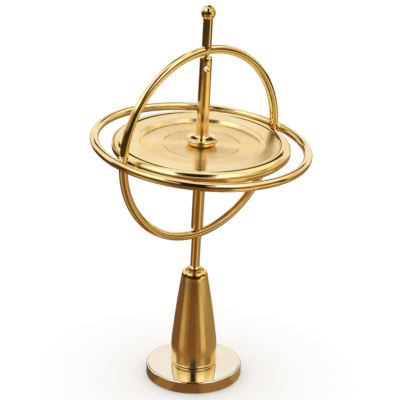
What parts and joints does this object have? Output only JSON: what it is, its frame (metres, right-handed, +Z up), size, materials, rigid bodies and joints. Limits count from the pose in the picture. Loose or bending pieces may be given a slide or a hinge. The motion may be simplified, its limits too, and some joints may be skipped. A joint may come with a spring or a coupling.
{
  "type": "gyroscope spinning top",
  "caption": "Gyroscope spinning top: a heavy flywheel on an axle inside two crossed wire rings, balanced by its ball foot in the cup of a tapered pedestal stand.",
  "frame": {"origin": "centre of the base disc's flat underside", "axes": "+Z up along the stand; the upright wire ring lies in the XZ plane and the gyroscope leans towards -Y"},
  "size_m": [0.066, 0.0657, 0.1185],
  "materials": {
    "base_plate_gold": "mirror-polished gold plate",
    "pedestal_gold": "satin gold plate",
    "ring_gold": "polished gold plate over drawn wire",
    "post_gold": "polished gold plate",
    "ball_gold": "polished gold plate",
    "braze_gold": "plated braze fillet",
    "flywheel_gold": "lathe-turned and plated gold",
    "hub_gold": "polished gold plate",
    "axle_gold": "polished gold plate",
    "hardened_steel": "ground steel"
  },
  "bodies": {
    "stand": {"base_disc": "base_plate_gold", "stand_cone": "pedestal_gold", "stand_stud": "hardened_steel"},
    "ball": {"lower_ball": "ball_gold"},
    "frame": {"vertical_ring": "ring_gold", "horizontal_ring": "ring_gold", "ring_braze_front": "braze_gold", "ring_braze_rear": "braze_gold", "upper_post": "post_gold", "lower_post": "post_gold", "upper_post_braze": "braze_gold", "lower_post_braze": "braze_gold", "upper_ball": "ball_gold", "upper_bearing": "hardened_steel", "lower_bearing": "hardened_steel"},
    "rotor": {"flywheel": "flywheel_gold", "hub_sleeve": "hub_gold", "hub_collar": "hub_gold", "axle": "axle_gold", "upper_pivot": "hardened_steel", "lower_pivot": "hardened_steel"}
  },
  "joints": [
    {"name": "precession", "type": "hinge", "parent": "stand", "child": "ball", "pos_m": [0, 0, 0.035], "axis": [0, 0, 1], "continuous": true},
    {"name": "lean", "type": "hinge", "parent": "ball", "child": "frame", "pos_m": [0, 0, 0.035], "axis": [1, 0, 0], "range_deg": [-53.35, 46.65]},
    {"name": "flywheel_spin", "type": "hinge", "parent": "frame", "child": "rotor", "pos_m": [0, -0.00241, 0.07623], "axis": [0, -0.0584, 0.9983], "continuous": true}
  ]
}
